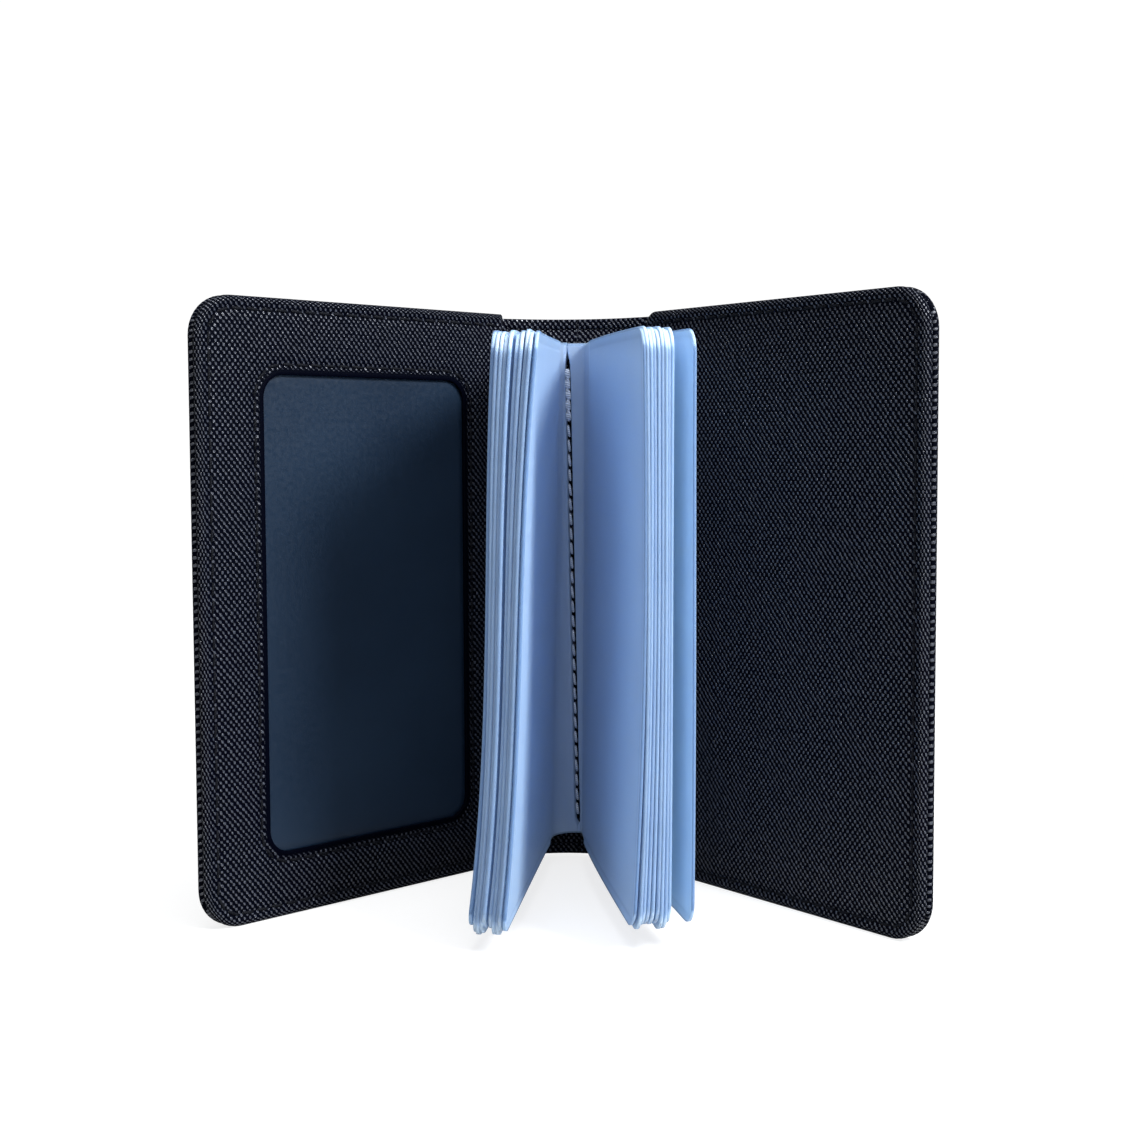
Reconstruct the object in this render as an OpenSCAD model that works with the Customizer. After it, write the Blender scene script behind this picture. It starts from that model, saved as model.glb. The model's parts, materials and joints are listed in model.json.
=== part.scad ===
// Bifold card-holder wallet, standing on its lower edges and opened in a V.
// Two padded covers hinge on a bowed spine. A book of clear card sleeves is sewn into the spine.
// Frame: +Z up, floor at z = 0, spine at +Y, the wallet opens towards -Y, millimetres.

/* [Covers] */
// Height of the covers
cover_h = 105; // [95:1:125]
// Width of a cover, from its fold to its free edge
cover_w = 67; // [64:1:80]
// Radius of the covers' free corners
corner_r = 6.8; // [3:0.2:7]
// How far the left cover is open, from fully closed
left_open = 39.3; // [25:0.1:85]
// How far the right cover is open, from fully closed
right_open = 45.1; // [25:0.1:85]

/* [Layers] */
// Thickness of the leatherette outer skin
skin_t = 0.5; // [0.4:0.05:0.6]
// Thickness of the foam padding under the skin
foam_t = 0.25; // [0.2:0.05:0.4]
// Thickness of the stiffening board
board_t = 0.4; // [0.3:0.05:0.6]
// Thickness of the cloth that lines the slip pocket
lining_t = 0.15; // [0.1:0.05:0.2]
// Height of the slip pocket, between its lining and the inner panel
pocket_gap = 1.2; // [1.15:0.05:1.6]
// Thickness of the inner panel
panel_t = 0.7; // [0.5:0.05:0.9]

/* [Spine] */
// Distance between the two fold lines
spine_w = 30.2; // [26:0.2:34]
// How far the spine bows out behind the fold lines
spine_rise = 5.25; // [4:0.25:6]
// Height of the spine, a little less than the covers'
spine_h = 103.8; // [94:0.2:124]
// Thickness of the strip that lines the spine
spine_lining_t = 0.45; // [0.3:0.05:0.6]
// Height of the hem turned over at each end of the spine
spine_hem_h = 2; // [1.5:0.1:3]

/* [Card sleeves] */
// Number of double sleeves sewn into the spine
sleeve_count = 10; // [4:1:10]
// Height of a sleeve
sleeve_h = 94; // [90:0.5:94]
// Width of one sleeve leaf, from its fold to its free edge
sleeve_w = 63; // [59:0.5:64]
// Radius of the sleeves' free corners
sleeve_r = 4; // [2:0.5:6]
// Distance from the fold to the mouth of a card pocket
mouth_w = 8; // [3:0.5:10]
// Thickness of one sleeve film
film_t = 0.15; // [0.1:0.01:0.15]
// Sideways spacing of the sleeve folds
fold_pitch = 0.6; // [0.58:0.01:0.62]

/* [ID window] */
// Distance from the fold line to the window's near side
window_u = 10.7; // [9:0.1:14]
// Width of the window
window_w = 43.7; // [36:0.1:45]
// Height of the window's lower side above the floor
window_z = 11.2; // [10:0.1:13]
// Height of the window
window_h = 81; // [70:0.5:82]
// Radius of the window's corners
window_r = 4; // [2:0.5:6]

/* [Thread] */
// Length of one stitch
stitch_len = 2.3; // [1.8:0.1:2.4]
// Spacing of the stitches
stitch_pitch = 2.9; // [2.8:0.1:3.4]
// Distance of the stitch line from a cover's free edge
stitch_inset = 2.2; // [1.8:0.1:3]

/* [Hidden] */
$fn = 48;
LEATHER = "#17181c";
THREAD = "#0c0c10";
PALE_THREAD = "#b9bdc4";
FILM = "#a9c4ea";
CLOTH = "#1d1e24";

// Clearance between layers that lie face to face
gap = 0.02;
// How much slimmer than its sheet the round bead is that ends the sheet on a fold line
bead_inset = 0.03;

// The fold lines, and the arc that the spine's skin follows between them
fold_x = spine_w / 2;
fold_y = 1.95;
spine_r = (fold_x * fold_x + spine_rise * spine_rise) / (2 * spine_rise);
arc_y = fold_y + spine_rise - spine_r;
arc_end = asin(fold_x / spine_r);
spine_z = (cover_h - spine_h) / 2;
spine_inner_r = spine_r - skin_t / 2 - gap - spine_lining_t;
lined_end = arc_end - 5;

// Levels in a cover, measured from its back face towards its inner face
foam_level = skin_t + gap;
board_level = foam_level + foam_t + gap;
lining_level = board_level + board_t + gap;
pocket_level = lining_level + lining_t;
panel_level = pocket_level + pocket_gap;
cover_t = panel_level + panel_t;
skin_rim = 0.6;
skin_rim_top = pocket_level - gap;
hem_w = 7;
mouth_hem_t = 0.5;
panel_start = 0.3;
inner_start = 1.5;

// The ID pocket behind the window
backing_t = 0.15;
window_film_t = 0.2;
window_margin = 3;

// The sleeves, nested from the middle of the book (1) to the spine (sleeve_count)
weld_t = 0.16;
weld_w = 1.5;
leaf_t = 2 * film_t + weld_t + 2 * 0.01;
sleeve_z = (cover_h - sleeve_h) / 2;
first_fold_x = 0.6;
fold_t = 0.3;
fold_step = 0.33;
leaf_root = fold_t / 2 + 0.1;
left_fan = 0.4;
left_fan_step = 0.22;
right_fan = 15.7;
right_fan_step = 0.05;
outer_leaf_extra = 2.6;

// Thread
stitch_w = 0.45;
stitch_t = 0.2;
stitch_start = 2.2;
window_stitch_inset = 1.7;
gutter_pitch = 2.8;
gutter_stitch_w = 0.4;
gutter_stitch_t = 0.35;
gutter_stitch_start = 3.5;
backtack_len = 8.4;
backtack_top = sleeve_z + sleeve_h - 6.2;

// The origin is under the middle of the whole wallet's box
box_left = -fold_x - cover_w * sin(left_open) - skin_t / 2 * cos(left_open);
box_right = fold_x + cover_w * sin(right_open) + skin_t / 2 * cos(right_open);
box_back = arc_y + spine_r + skin_t / 2 + stitch_t;
box_front = fold_y_of(1) - sleeve_w * cos(left_fan) - leaf_t / 2 * sin(left_fan);
origin = [-(box_left + box_right) / 2, -(box_front + box_back) / 2, 0];

LEAF_IDS = [for (k = [1:sleeve_count]) k];
function leaf_name(side, k) = str(side, "_sleeve_", k < 10 ? "0" : "", k);

// ---------- where the folds and leaves are ----------

function fold_x_of(k) = first_fold_x + fold_pitch * (k - 1);
function fold_r_of(k) = spine_inner_r - gap - fold_t / 2 - fold_step * (sleeve_count - k);
function fold_y_of(k) = arc_y + sqrt(pow(fold_r_of(k), 2) - pow(fold_x_of(k), 2));
function left_leaf_angle(k) = left_fan + left_fan_step * (k - 1);
function right_leaf_angle(k) =
    right_fan + right_fan_step * (k - 1) + (k == sleeve_count ? outer_leaf_extra : 0);

// ---------- frames ----------

// A plate that hangs from a vertical line at [-x, y] and is turned outwards by angle.
// Local +X runs away from the line, local +Y points to the inner side, local +Z is up.
module hung_at(x, y, angle, right = false) {
    translate(origin)
        mirror([right ? 1 : 0, 0, 0])
            translate([-x, y, 0])
                rotate([0, 0, -90 - angle])
                    children();
}

module left_cover() hung_at(fold_x, fold_y, left_open) children();

module right_cover() hung_at(fold_x, fold_y, right_open, true) children();

module on_spine() translate(origin) children();

// Extrudes a drawing in the plate's plane between two levels above the cover's back face
module layer(from, to) {
    translate([0, to - skin_t / 2, 0])
        rotate([90, 0, 0])
            linear_extrude(to - from)
                children();
}

// ---------- drawings ----------

// Rectangle from u0 to u1 and z0 to z1 whose corners at u1 are rounded
module free_edge_outline(u0, u1, z0, z1, r) {
    translate([u0, z0]) square([u1 - r - u0, z1 - z0]);
    translate([u1 - r - 1, z0 + r]) square([r + 1, z1 - z0 - 2 * r]);
    for (z = [z0 + r, z1 - r]) translate([u1 - r, z]) circle(r);
}

module rounded_window(u0, z0, w, h, r) {
    translate([u0 + r, z0]) square([w - 2 * r, h]);
    translate([u0, z0 + r]) square([w, h - 2 * r]);
    for (u = [u0 + r, u0 + w - r], z = [z0 + r, z0 + h - r]) translate([u, z]) circle(r);
}

// A cover-shaped outline, inset from the free edges
module cover_outline(start, inset) {
    free_edge_outline(start, cover_w - inset, inset, cover_h - inset, corner_r - inset);
}

module window_outline() rounded_window(window_u, window_z, window_w, window_h, window_r);

// ---------- stitches along a rounded rectangle ----------

function side_start(side, w, h, r) =
    [[r - w / 2, -h / 2], [w / 2, r - h / 2], [w / 2 - r, h / 2], [-w / 2, h / 2 - r]][side];

// Point and heading at length s along a rounded rectangle about the origin, counter-clockwise
// from the start of its lower side
function along_rectangle(s, w, h, r, side = 0) =
    let (run = (side % 2 == 0 ? w : h) - 2 * r)
    let (bend = PI * r / 2)
    let (p = side_start(side, w, h, r))
    let (a = 90 * side)
    let (t = (s - run) / r * 180 / PI)
    s <= run ? [p.x + s * cos(a), p.y + s * sin(a), a] :
    s <= run + bend || side == 3 ?
        [p.x + (run + r * sin(t)) * cos(a) - r * (1 - cos(t)) * sin(a),
         p.y + (run + r * sin(t)) * sin(a) + r * (1 - cos(t)) * cos(a),
         a + t] :
    along_rectangle(s - run - bend, w, h, r, side + 1);

module stitch_outline(len, w) {
    square([len - w, w], center = true);
    for (side = [-1, 1]) translate([side * (len - w) / 2, 0]) circle(w / 2, $fn = 16);
}

// Stitches every stitch_pitch over a length of the rounded rectangle centred at [u, z]
module stitch_row(u, z, w, h, r, length) {
    count = floor(length / stitch_pitch);
    for (i = [0:count - 1]) {
        at = along_rectangle((i + 0.5) * length / count, w, h, r);
        translate([u + at.x, z + at.y]) rotate(at.z) stitch_outline(stitch_len, stitch_w);
    }
}

// The seam round a cover's three free sides
module edge_seam() {
    r = corner_r - stitch_inset;
    u1 = cover_w - stitch_inset;
    w = u1 - stitch_start + r;
    h = cover_h - 2 * stitch_inset;
    stitch_row(u1 - w / 2, cover_h / 2, w, h, r, 2 * (w - 2 * r) + h - 2 * r + PI * r);
}

module window_seam() {
    r = window_r + window_stitch_inset;
    w = window_w + 2 * window_stitch_inset;
    h = window_h + 2 * window_stitch_inset;
    length = 2 * (w + h) - 8 * r + 2 * PI * r;
    stitch_row(window_u + window_w / 2, window_z + window_h / 2, w, h, r, length);
}

// ---------- layers of a cover ----------

// The skin, with the rim that turns up round the padding and the board
module cover_skin() {
    start = skin_t / 2 + 0.12;
    layer(0, skin_t) cover_outline(start, 0);
    layer(skin_t / 2, skin_rim_top) difference() {
        cover_outline(inner_start - gap, 0);
        cover_outline(inner_start - 1, skin_rim);
    }
}

module foam_padding() layer(foam_level, foam_level + foam_t)
    cover_outline(inner_start, skin_rim + gap);

module stiffener_board() layer(board_level, board_level + board_t)
    cover_outline(inner_start, skin_rim + gap);

module pocket_lining() layer(lining_level, pocket_level)
    cover_outline(inner_start, skin_rim + gap);

// The panel's edges, turned back behind it on all four sides. The three sewn sides fill the
// height of the slip pocket, and the fourth leaves the pocket's mouth open.
module panel_hems() {
    low = pocket_level + gap;
    high = panel_level - gap;
    layer(low, high) intersection() {
        cover_outline(panel_start, 0);
        translate([cover_w - hem_w, 0]) square([hem_w, cover_h]);
    }
    for (z = [0, cover_h - hem_w]) layer(low, high)
        translate([panel_start, z]) square([cover_w - hem_w - gap - panel_start, hem_w]);
    layer(high - mouth_hem_t, high)
        translate([panel_start, hem_w + gap]) square([hem_w, cover_h - 2 * hem_w - 2 * gap]);
}

module edge_stitches() {
    layer(cover_t, cover_t + stitch_t) edge_seam();
    layer(-stitch_t, 0) edge_seam();
}

// ---------- spine ----------

// A band between two radii of the spine's arc, reaching half_angle each side of its middle
module arc_band(r0, r1, half_angle) {
    reach = 2 * r1;
    translate([0, arc_y]) intersection() {
        difference() {
            circle(r1, $fn = 160);
            circle(r0, $fn = 160);
        }
        polygon([
            [0, 0],
            [reach * sin(half_angle), reach * cos(half_angle)],
            [-reach * sin(half_angle), reach * cos(half_angle)]
        ]);
    }
}

// A band that ends in a round bead on a line at x, y on each side
module beaded_band(r, t, x, y) {
    arc_band(r - t / 2, r + t / 2, asin(x / r));
    for (side = [-1, 1]) translate([side * x, y]) circle(t / 2 - bead_inset, $fn = 24);
}

module upright(z, h) translate([0, 0, z]) linear_extrude(h) children();

module spine_skin() {
    hem_z = [spine_z, spine_z + spine_h - spine_hem_h];
    color(LEATHER) on_spine() {
        upright(spine_z, spine_h) beaded_band(spine_r, skin_t, fold_x, fold_y);
        for (z = hem_z) upright(z, spine_hem_h) arc_band(spine_inner_r, spine_r, lined_end);
    }
}

module spine_lining() {
    z = spine_z + spine_hem_h + gap;
    color(LEATHER) on_spine() upright(z, cover_h - 2 * z)
        arc_band(spine_inner_r, spine_inner_r + spine_lining_t, lined_end);
}

// ---------- sleeves ----------

// The folded middles of the double sleeves, one inside the next
module sleeve_folds() {
    color(FILM) on_spine() for (k = LEAF_IDS)
        upright(sleeve_z, sleeve_h)
            beaded_band(fold_r_of(k), fold_t, fold_x_of(k), fold_y_of(k));
}

// Places a plate between two levels either side of a leaf's middle plane
module leaf_layer(from, to) {
    translate([0, to, 0]) rotate([90, 0, 0]) linear_extrude(to - from) children();
}

// One leaf: a full film, the pocket film in front of it, and the welds that join them
module leaf() {
    z1 = sleeve_z + sleeve_h;
    weld_start = mouth_w + gap;
    leaf_layer(-leaf_t / 2, film_t - leaf_t / 2)
        free_edge_outline(leaf_root, sleeve_w, sleeve_z, z1, sleeve_r);
    leaf_layer(leaf_t / 2 - film_t, leaf_t / 2)
        free_edge_outline(mouth_w, sleeve_w, sleeve_z, z1, sleeve_r);
    for (z = [sleeve_z, z1 - weld_w]) leaf_layer(-weld_t / 2, weld_t / 2)
        translate([weld_start, z]) square([sleeve_w - sleeve_r - weld_start, weld_w]);
    leaf_layer(-weld_t / 2, weld_t / 2)
        translate([sleeve_w - weld_w, sleeve_z + sleeve_r])
            square([weld_w, sleeve_h - 2 * sleeve_r]);
}

module left_leaf(k) {
    color(FILM) hung_at(fold_x_of(k), fold_y_of(k), left_leaf_angle(k)) leaf();
}

module right_leaf(k) {
    color(FILM) hung_at(fold_x_of(k), fold_y_of(k), right_leaf_angle(k), true) leaf();
}

// ---------- thread in the gutter and down the outside of the spine ----------

module gutter_stitching() {
    front = arc_y + fold_r_of(1) - fold_t / 2 - gap;
    first = sleeve_z + gutter_stitch_start;
    count = floor((backtack_top - backtack_len - first) / gutter_pitch);
    color(PALE_THREAD) on_spine() for (i = [0:count - 1])
        translate([-gutter_stitch_w / 2, front - gutter_stitch_t, first + i * gutter_pitch])
            cube([gutter_stitch_w, gutter_stitch_t, stitch_len]);
    color(THREAD) on_spine() for (i = [0:count + 2])
        translate([-gutter_stitch_w / 2, arc_y + spine_r + skin_t / 2, first + i * gutter_pitch])
            cube([gutter_stitch_w, stitch_t, stitch_len]);
}

// The doubled stitches that lock the top of the gutter seam
module gutter_backtack() {
    front = arc_y + fold_r_of(1) - fold_t / 2 - gap;
    color(PALE_THREAD) on_spine()
        translate([-gutter_stitch_w / 2, front - gutter_stitch_t, backtack_top - backtack_len])
            cube([gutter_stitch_w, gutter_stitch_t, backtack_len]);
}

// ---------- left cover ----------

module left_cover_skin() color(LEATHER) left_cover() cover_skin();

module left_foam_padding() color("dimgray") left_cover() foam_padding();

module left_stiffener_board() color("tan") left_cover() stiffener_board();

module left_pocket_lining() color(CLOTH) left_cover() pocket_lining();

module left_inner_panel() {
    color(LEATHER) left_cover() {
        layer(panel_level, cover_t) difference() {
            cover_outline(panel_start, 0);
            window_outline();
        }
        panel_hems();
    }
}

module id_pocket_backing() {
    level = pocket_level + 0.2;
    color(CLOTH) left_cover() layer(level, level + backing_t)
        translate([inner_start, hem_w + 2 * gap])
            square([cover_w - hem_w - inner_start - 2 * gap, cover_h - 2 * hem_w - 4 * gap]);
}

module id_window_film() {
    level = panel_level - gap - window_film_t;
    color("#2c3a52") left_cover() layer(level, level + window_film_t)
        translate([window_u - window_margin, window_z - window_margin])
            square([window_w + 2 * window_margin, window_h + 2 * window_margin]);
}

module left_edge_stitching() color(THREAD) left_cover() edge_stitches();

module window_stitching()
    color(THREAD) left_cover() layer(cover_t, cover_t + stitch_t) window_seam();

// ---------- right cover ----------

module right_cover_skin() color(LEATHER) right_cover() cover_skin();

module right_foam_padding() color("dimgray") right_cover() foam_padding();

module right_stiffener_board() color("tan") right_cover() stiffener_board();

module right_pocket_lining() color(CLOTH) right_cover() pocket_lining();

module right_inner_panel() {
    color(LEATHER) right_cover() {
        layer(panel_level, cover_t) cover_outline(panel_start, 0);
        panel_hems();
    }
}

module right_edge_stitching() color(THREAD) right_cover() edge_stitches();

// ---------- the nodes ----------

spine_skin();
spine_lining();
sleeve_folds();
gutter_stitching();
gutter_backtack();
left_cover_skin();
left_foam_padding();
left_stiffener_board();
left_pocket_lining();
left_inner_panel();
id_pocket_backing();
id_window_film();
left_edge_stitching();
window_stitching();
right_cover_skin();
right_foam_padding();
right_stiffener_board();
right_pocket_lining();
right_inner_panel();
right_edge_stitching();
for (k = LEAF_IDS) left_leaf(k);
for (k = LEAF_IDS) right_leaf(k);
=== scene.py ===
"""Looks of a bifold card-holder wallet that stands open on its lower edges.

Two padded covers hinge on a bowed spine, and a book of frosted card sleeves is sewn into the
spine. Lengths are millimetres until build() hands a mesh to Blender. A cover has coordinates of
its own: u runs from its fold line to its free edge, t from its back face to its inner side, and
z up. Negative u goes round the spine to its middle.
"""

import json
import math

import bmesh
import bpy
import numpy as np
from mathutils import Matrix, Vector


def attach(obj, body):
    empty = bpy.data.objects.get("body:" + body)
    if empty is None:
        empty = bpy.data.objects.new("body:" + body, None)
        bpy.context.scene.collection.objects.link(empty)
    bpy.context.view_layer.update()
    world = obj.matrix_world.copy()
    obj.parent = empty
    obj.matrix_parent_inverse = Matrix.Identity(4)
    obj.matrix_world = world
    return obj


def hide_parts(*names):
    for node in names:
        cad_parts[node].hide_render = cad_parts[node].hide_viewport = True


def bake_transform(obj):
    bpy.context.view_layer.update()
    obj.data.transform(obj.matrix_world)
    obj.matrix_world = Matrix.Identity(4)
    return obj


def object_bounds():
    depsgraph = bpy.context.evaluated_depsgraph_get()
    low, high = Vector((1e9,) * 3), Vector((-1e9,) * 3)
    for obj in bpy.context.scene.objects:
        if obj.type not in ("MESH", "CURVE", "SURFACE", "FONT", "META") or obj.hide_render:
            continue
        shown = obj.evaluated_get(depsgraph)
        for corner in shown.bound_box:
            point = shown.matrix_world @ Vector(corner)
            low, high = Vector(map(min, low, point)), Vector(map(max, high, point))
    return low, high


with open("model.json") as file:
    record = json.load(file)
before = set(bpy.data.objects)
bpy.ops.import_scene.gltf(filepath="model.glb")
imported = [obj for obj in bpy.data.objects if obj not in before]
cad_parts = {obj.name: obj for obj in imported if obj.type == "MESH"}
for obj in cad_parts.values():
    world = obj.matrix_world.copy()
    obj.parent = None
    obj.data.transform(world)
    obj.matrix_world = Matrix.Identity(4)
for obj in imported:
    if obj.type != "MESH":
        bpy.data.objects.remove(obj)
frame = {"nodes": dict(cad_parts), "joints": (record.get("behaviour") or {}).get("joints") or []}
cad_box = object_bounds()

MM = 0.001

# ---------- sizes of details, in millimetres ----------

SKIN_T = 0.5
PANEL_T = 0.7
LINING_T = 0.15
CORNER_R = 6.8
FOLD_SOFTNESS = 1.6
FOLD_REACH = 3.0
BLEND_Z = 50

EDGE_LIP = 0.6
SPINE_LIP = 0.35
HEM_W = 7.0
MOUTH_HEM_T = 0.5
PANEL_FOLD_R = {-1: 0.4, 1: 2.6}
WINDOW_MARGIN = 3.0
WINDOW_R = 4.0
WINDOW_RIM = 0.7

STITCH_PITCH = 2.9
STITCH_LEN = 2.45
STITCH_W = 0.5
STITCH_T = 0.34
STITCH_SLANT = math.radians(5)
SEAM_INSET = 2.2
WINDOW_SEAM = 1.7
GUTTER_PITCH = 2.8
SEAM_CHANNEL = 0.16
NEEDLE_DIP = 0.2

FILM_T = 0.13
POCKET_T = 0.44
MOUTH_AT = 8.4
WELD_W = 1.5
SLEEVE_CORNER = 4.0
SLEEVES = 10

GRAIN_X = 1.05
GRAIN_Z = 0.62
GRAIN_DRIFT = 0.42

HEIGHT_STEPS = 90
WIDTH_STEPS = 116
CORNER_STEPS = 10

rng = np.random.default_rng(20)

# ---------- small helpers ----------


def smooth(x, low, high):
    """0 below low, 1 above high, and a soft step between them."""
    s = np.clip((np.asarray(x, float) - low) / (high - low), 0, 1)
    return s * s * (3 - 2 * s)


def between(ends, share):
    """Values at a share of the way from the first row of ends to the last."""
    first, last = np.array(ends)
    return first + (last - first) * share


def node_points(name):
    """A CAD node's vertices, in millimetres."""
    return np.array([v.co for v in frame["nodes"][name].data.vertices], float) / MM


def ripple(a, b, size, seed):
    """Slow unevenness of about one unit either way, with waves of about the given size."""
    turns = 2 * math.pi / size
    return (
        np.sin(turns * (0.83 * a + 0.31 * b) + 1.7 * seed)
        + np.sin(turns * (0.21 * a - 0.74 * b) + 4.1 * seed)
        + np.sin(turns * (0.47 * a + 0.52 * b) + 2.9 * seed)
    ) / 2


# ---------- the frame's own measures ----------

JOINTS = {joint["name"]: joint for joint in frame["joints"]}
SPINE_POINTS = node_points("spine_skin")
FOLDS = {name: np.array(JOINTS[name + "_fold"]["pos_m"][:2]) / MM
         for name in ("left_cover", "right_cover")}
SPINE_X = (FOLDS["left_cover"][0] + FOLDS["right_cover"][0]) / 2
HALF_CHORD = (FOLDS["right_cover"][0] - FOLDS["left_cover"][0]) / 2
SPINE_RISE = SPINE_POINTS[:, 1].max() - SKIN_T / 2 - FOLDS["left_cover"][1]
SPINE_R = (HALF_CHORD ** 2 + SPINE_RISE ** 2) / (2 * SPINE_RISE)
SPINE_Y = FOLDS["left_cover"][1] + SPINE_RISE - SPINE_R
HALF_SPINE = SPINE_R * math.asin(HALF_CHORD / SPINE_R)
SPINE_Z0 = SPINE_POINTS[:, 2].min()
SPINE_Z1 = SPINE_POINTS[:, 2].max()

# The strip that lines the spine: its inner face's level, its half length and its ends
lining_x, lining_y, lining_z = (node_points("spine_lining") - (SPINE_X, SPINE_Y, 0)).T
LINING_TOP = SPINE_R + SKIN_T / 2 - np.hypot(lining_x, lining_y).min()
LINING_HALF = SPINE_R * np.arctan2(np.abs(lining_x), lining_y).max()
LINING_Z0 = lining_z.min()
LINING_Z1 = lining_z.max()


def spine_at(s, t, z):
    """Place at s along the spine from its middle, t in from its back face and z up."""
    s, t, z = np.broadcast_arrays(s, t, z)
    turn = s / SPINE_R
    r = SPINE_R + SKIN_T / 2 - t
    return np.column_stack([SPINE_X + r * np.sin(turn), SPINE_Y + r * np.cos(turn), z])


class Bend:
    """A sheet's path seen from above, from headings given at even steps."""

    STEP = 0.05

    def __init__(self, side, start, along, heading):
        self.side = side
        self.along = along
        self.heading = heading
        middle = (heading[1:] + heading[:-1]) / 2
        self.x = np.concatenate([[0], np.cumsum(np.cos(middle) * self.STEP)])
        self.y = start[1] + np.concatenate([[0], np.cumsum(np.sin(middle) * self.STEP)])
        self.start_x = start[0]

    def at(self, u, off, z):
        """Place at u along the path, off to its inner side and z up."""
        u, off, z = np.broadcast_arrays(u, off, z)
        turn = np.interp(u, self.along, self.heading)
        x = np.interp(u, self.along, self.x) + off * np.sin(turn)
        y = np.interp(u, self.along, self.y) - off * np.cos(turn)
        return np.column_stack([self.start_x + self.side * x, y, z])


class Cover:
    """A cover and its half of the spine, as one bent sheet."""

    def __init__(self, name, side):
        self.name = name
        self.side = side
        self.open = math.radians(JOINTS[name + "_fold"]["range_deg"][1])
        along = np.arange(-HALF_SPINE, 75, Bend.STEP)
        turned = smooth(along, -FOLD_SOFTNESS, FOLD_SOFTNESS)
        on_spine = -(along + HALF_SPINE) / SPINE_R
        heading = (1 - turned) * on_spine + turned * (self.open - math.pi / 2)
        self.bend = Bend(side, (SPINE_X, SPINE_Y + SPINE_R), along, heading)
        skin = self.measure(name + "_skin")
        self.width = skin[1][0]
        self.height = skin[1][2]
        self.rim_top = skin[1][1]
        panel = self.measure(name.replace("cover", "inner_panel"))
        self.panel_start = panel[0][0]
        self.hem_level = panel[0][1]
        self.top = panel[1][1]
        lining = self.measure(name.replace("cover", "pocket_lining"))
        self.lining_start = lining[0][0]
        self.lining_inset = self.width - lining[1][0]
        self.lining_top = lining[1][1]

    def measure(self, node):
        """(lowest, highest) u, t and z of a CAD node that rides on this cover."""
        at = node_points(node)
        out = np.array((self.side * math.sin(self.open), -math.cos(self.open)))
        inner = np.array((-self.side * math.cos(self.open), -math.sin(self.open)))
        flat = at[:, :2] - FOLDS[self.name]
        own = np.column_stack([flat @ out, flat @ inner + SKIN_T / 2, at[:, 2]])
        return own.min(0), own.max(0)

    def at(self, u, t, z):
        return self.bend.at(u, np.asarray(t) - SKIN_T / 2, z)


LEFT = Cover("left_cover", -1)
RIGHT = Cover("right_cover", 1)
COVER_H = LEFT.height

# ---------- meshes ----------


def new_object(name, data):
    obj = bpy.data.objects.new(name, data)
    bpy.context.scene.collection.objects.link(obj)
    return obj


def build(name, points, faces, material, uv, masks=None):
    """A mesh object from points in millimetres, closed and with its faces turned outwards."""
    mesh = bpy.data.meshes.new(name)
    mesh.from_pydata((np.asarray(points) * MM).tolist(), [], faces)
    shape = bmesh.new()
    shape.from_mesh(mesh)
    bmesh.ops.recalc_face_normals(shape, faces=shape.faces)
    shape.to_mesh(mesh)
    shape.free()
    corners = np.zeros(len(mesh.loops), np.int32)
    mesh.loops.foreach_get("vertex_index", corners)
    layer = mesh.uv_layers.new(name="Cut")
    layer.data.foreach_set("uv", np.asarray(uv, np.float32)[corners].ravel())
    for mask, values in (masks or {}).items():
        attribute = mesh.attributes.new(mask, "FLOAT", "POINT")
        attribute.data.foreach_set("value", np.asarray(values, np.float32))
    mesh.shade_smooth()
    mesh.materials.append(material)
    obj = new_object(name, mesh)
    return obj


def outline(u0, u1, z0, z1, r_fold, r_free, kept=()):
    """Loop of (u, z) round a plate, from the middle of its fold side down, out, up and back.
    The upper half mirrors the lower half. Every such loop passes the kept values of u."""
    mid = (z0 + z1) / 2
    turn = np.radians(np.arange(CORNER_STEPS) * 90 / CORNER_STEPS)
    fold_z = np.linspace(mid, z0 + r_fold, HEIGHT_STEPS, endpoint=False)
    a, b = u0 + r_fold, u1 - r_free
    if len(kept):
        near = np.linspace(a, kept[0], WIDTH_STEPS // 8, endpoint=False)
        far = np.linspace(kept[-1], b, WIDTH_STEPS, endpoint=False)[1:]
        run = np.concatenate([near, kept, far])
    else:
        run = np.linspace(a, b, WIDTH_STEPS, endpoint=False)
    free_z = np.linspace(z0 + r_free, mid, HEIGHT_STEPS + 1)
    lower = np.concatenate([
        np.column_stack([np.full(HEIGHT_STEPS, u0), fold_z]),
        np.column_stack([a - r_fold * np.cos(turn), z0 + r_fold - r_fold * np.sin(turn)]),
        np.column_stack([run, np.full(len(run), z0)]),
        np.column_stack([b + r_free * np.sin(turn), z0 + r_free - r_free * np.cos(turn)]),
        np.column_stack([np.full(HEIGHT_STEPS + 1, u1), free_z]),
    ])
    upper = lower[-2:0:-1] * (1, -1) + (0, 2 * mid)
    return np.concatenate([lower, upper])


def core_of(loop, half_u, half_z):
    """A small oval in the middle of a loop, with as many points."""
    centre = (loop.min(0) + loop.max(0)) / 2
    turn = math.pi + 2 * math.pi * np.arange(len(loop)) / len(loop)
    return centre + np.column_stack([half_u * np.cos(turn), half_z * np.sin(turn)])


def inwards(loop, core, steps):
    """Loops from loop, which isn't repeated, to core."""
    shares = np.linspace(0, 1, steps + 1)[1:]
    return [loop * (1 - share) + core * share for share in shares]


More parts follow.
